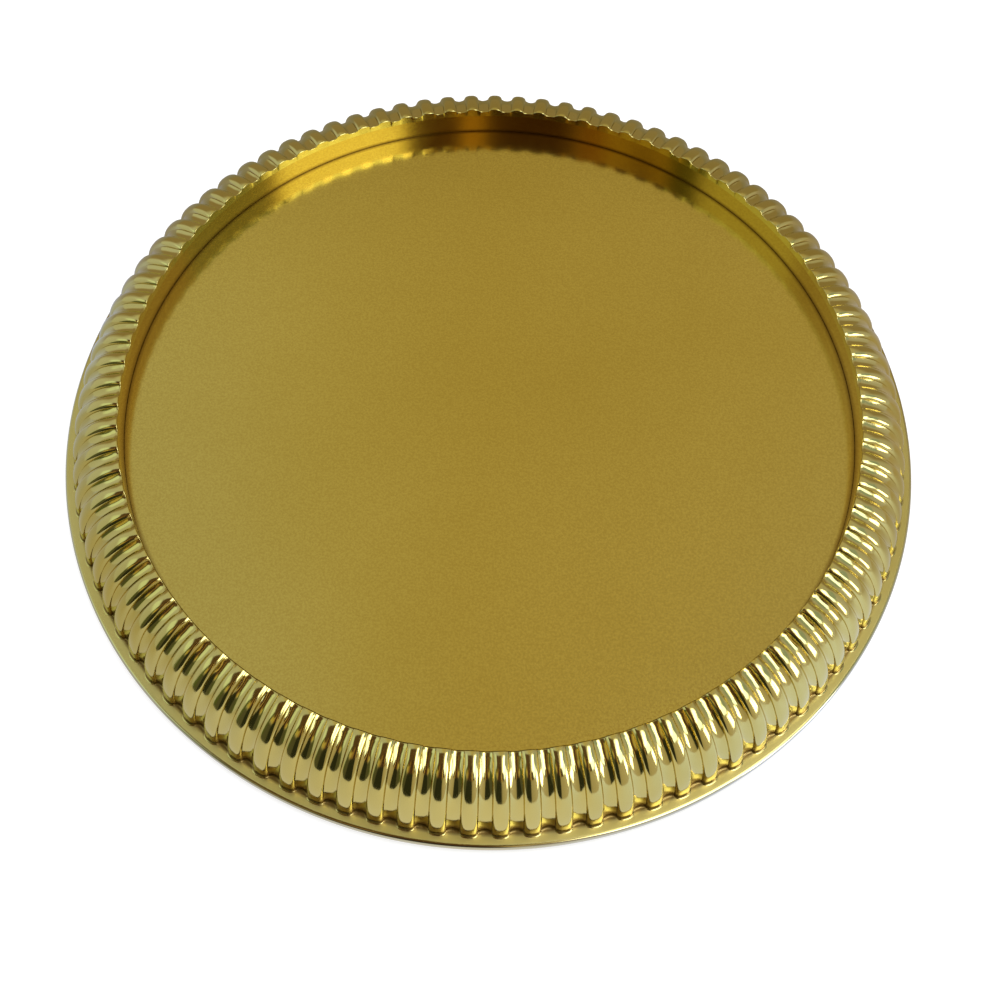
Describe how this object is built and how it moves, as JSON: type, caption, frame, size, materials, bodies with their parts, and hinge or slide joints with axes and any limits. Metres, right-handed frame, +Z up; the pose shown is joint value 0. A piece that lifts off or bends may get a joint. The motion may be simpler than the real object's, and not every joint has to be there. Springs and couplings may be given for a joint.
{
  "type": "candle plate",
  "caption": "Round brass candle plate with a flat floor, an upright inner wall, a gadrooned border and a narrow rolled edge.",
  "frame": {"origin": "middle of the base, on the surface that the plate stands on", "axes": "+Z up, the plate's axis; +X and +Y lie in the table, and the plate is round about +Z"},
  "size_m": [0.18, 0.18, 0.0171],
  "materials": {
    "satin_brass": "satin, with fine buffing marks",
    "polished_brass": "polished",
    "wire_brass": "drawn",
    "solder": "dull soft solder"
  },
  "bodies": {
    "root": {"floor_disc": "satin_brass", "well_wall": "polished_brass", "gadrooned_border": "polished_brass", "base_flange": "polished_brass", "edge_wire": "wire_brass", "floor_seam": "solder", "crown_seam": "solder", "foot_seam": "solder"}
  },
  "joints": []
}
